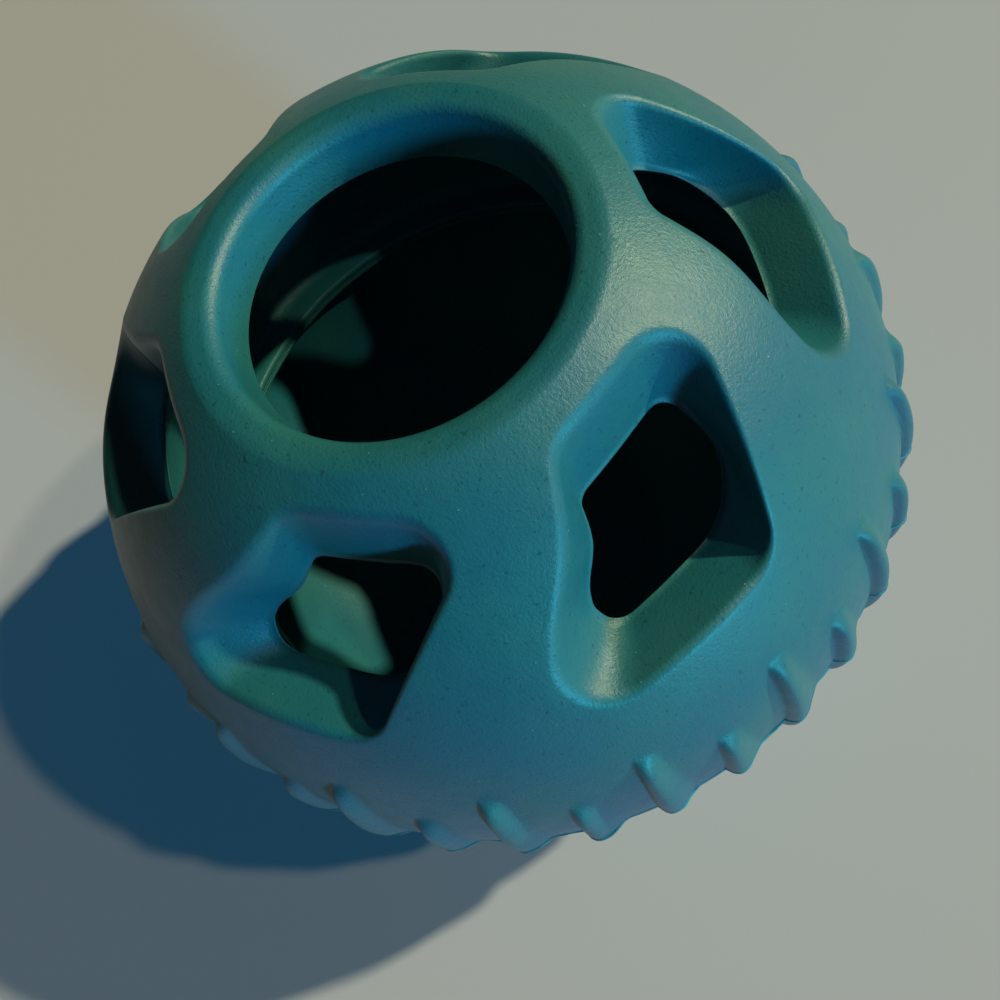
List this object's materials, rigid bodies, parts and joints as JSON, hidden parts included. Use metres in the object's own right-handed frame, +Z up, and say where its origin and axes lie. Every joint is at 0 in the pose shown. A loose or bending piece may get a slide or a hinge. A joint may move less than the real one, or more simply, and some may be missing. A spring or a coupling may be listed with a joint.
{
  "type": "treat dispensing ball",
  "caption": "Hollow rubber pet ball with a round mouth, six slanted windows in the upper half, a closed lower half and short ribs round the middle, for letting treats fall out.",
  "frame": {"origin": "centre of the flat ring under the closed foot, which is the centre of the bounding box's bottom face", "axes": "+Z up, out of the mouth along the ball's axis; +X passes over the middle of one window"},
  "size_m": [0.1034, 0.1034, 0.087],
  "materials": {
    "rubber": "moulded natural rubber, satin with a fine speckle",
    "seam_rubber": "thin bonded line with a trimmed flash edge"
  },
  "bodies": {
    "root": {"upper_shell": "rubber", "lower_shell": "rubber", "seam_bond": "seam_rubber"}
  },
  "joints": []
}
